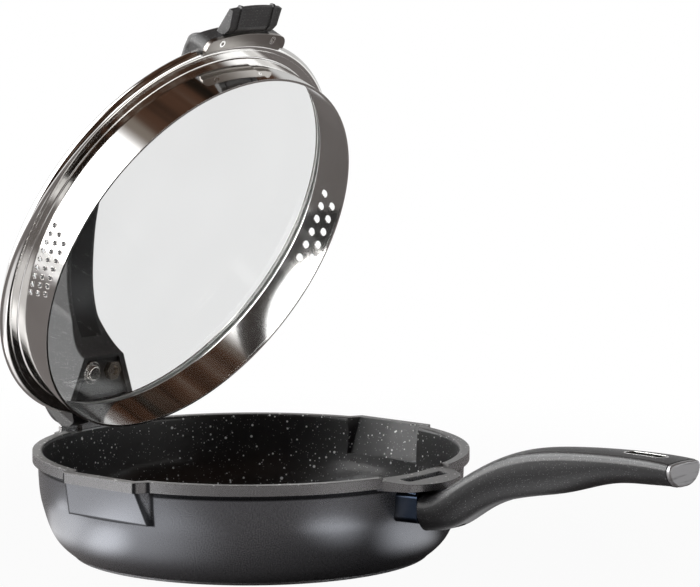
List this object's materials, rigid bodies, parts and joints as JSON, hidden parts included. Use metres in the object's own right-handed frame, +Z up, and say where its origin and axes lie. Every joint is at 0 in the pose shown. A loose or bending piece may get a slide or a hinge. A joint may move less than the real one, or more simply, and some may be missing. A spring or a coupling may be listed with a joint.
{
  "type": "saute pan",
  "caption": "Deep saute pan with pouring spouts, a long handle, and a hinged glass lid whose steel band has strainer holes and whose bow handle runs from the hinge to a thumb tab.",
  "frame": {"origin": "centre of the base, on the surface that the pan stands on", "axes": "+X along the long handle, +Y towards the spout on the coarse strainer side, +Z up"},
  "size_m": [0.5476, 0.3024, 0.368],
  "materials": {
    "pan_coating": "cast, dark speckled non-stick coating",
    "disc_steel": "brushed",
    "polished_steel": "mirror polished",
    "bracket_steel": "satin",
    "fastener_steel": "bright",
    "ferrule_steel": "mirror polished",
    "lid_glass": "clear, polished",
    "seal_rubber": "pale, satin",
    "handle_plastic": "dark grey with fine speckles",
    "handle_core": "satin",
    "cap_metal": "satin",
    "washer_plastic": "satin"
  },
  "bodies": {
    "pan": {"pan_body": "pan_coating", "induction_disc": "disc_steel", "handle_ferrule": "ferrule_steel", "handle_grip": "handle_plastic", "hanging_eye_liner": "fastener_steel", "handle_end_cap": "cap_metal", "handle_screw": "fastener_steel", "hinge_bracket": "bracket_steel", "bracket_clamp_plate": "bracket_steel", "bracket_screws": "fastener_steel", "hinge_pin": "bracket_steel", "hinge_washers": "washer_plastic"},
    "lid": {"strainer_band": "polished_steel", "lid_rim": "polished_steel", "glass_seal": "seal_rubber", "lid_glass": "lid_glass", "lid_handle": "handle_plastic", "handle_liner": "handle_core", "rear_foot_plate": "handle_core", "foot_washer": "fastener_steel", "foot_screw": "fastener_steel", "foot_nut": "fastener_steel", "front_clamp": "bracket_steel", "front_clamp_screws": "fastener_steel", "pin_plug": "handle_core"}
  },
  "joints": [
    {"name": "lid_hinge", "type": "hinge", "parent": "pan", "child": "lid", "pos_m": [-0.1475, 0, 0.083], "axis": [0, 1, 0], "range_deg": [0, 63.5]}
  ]
}
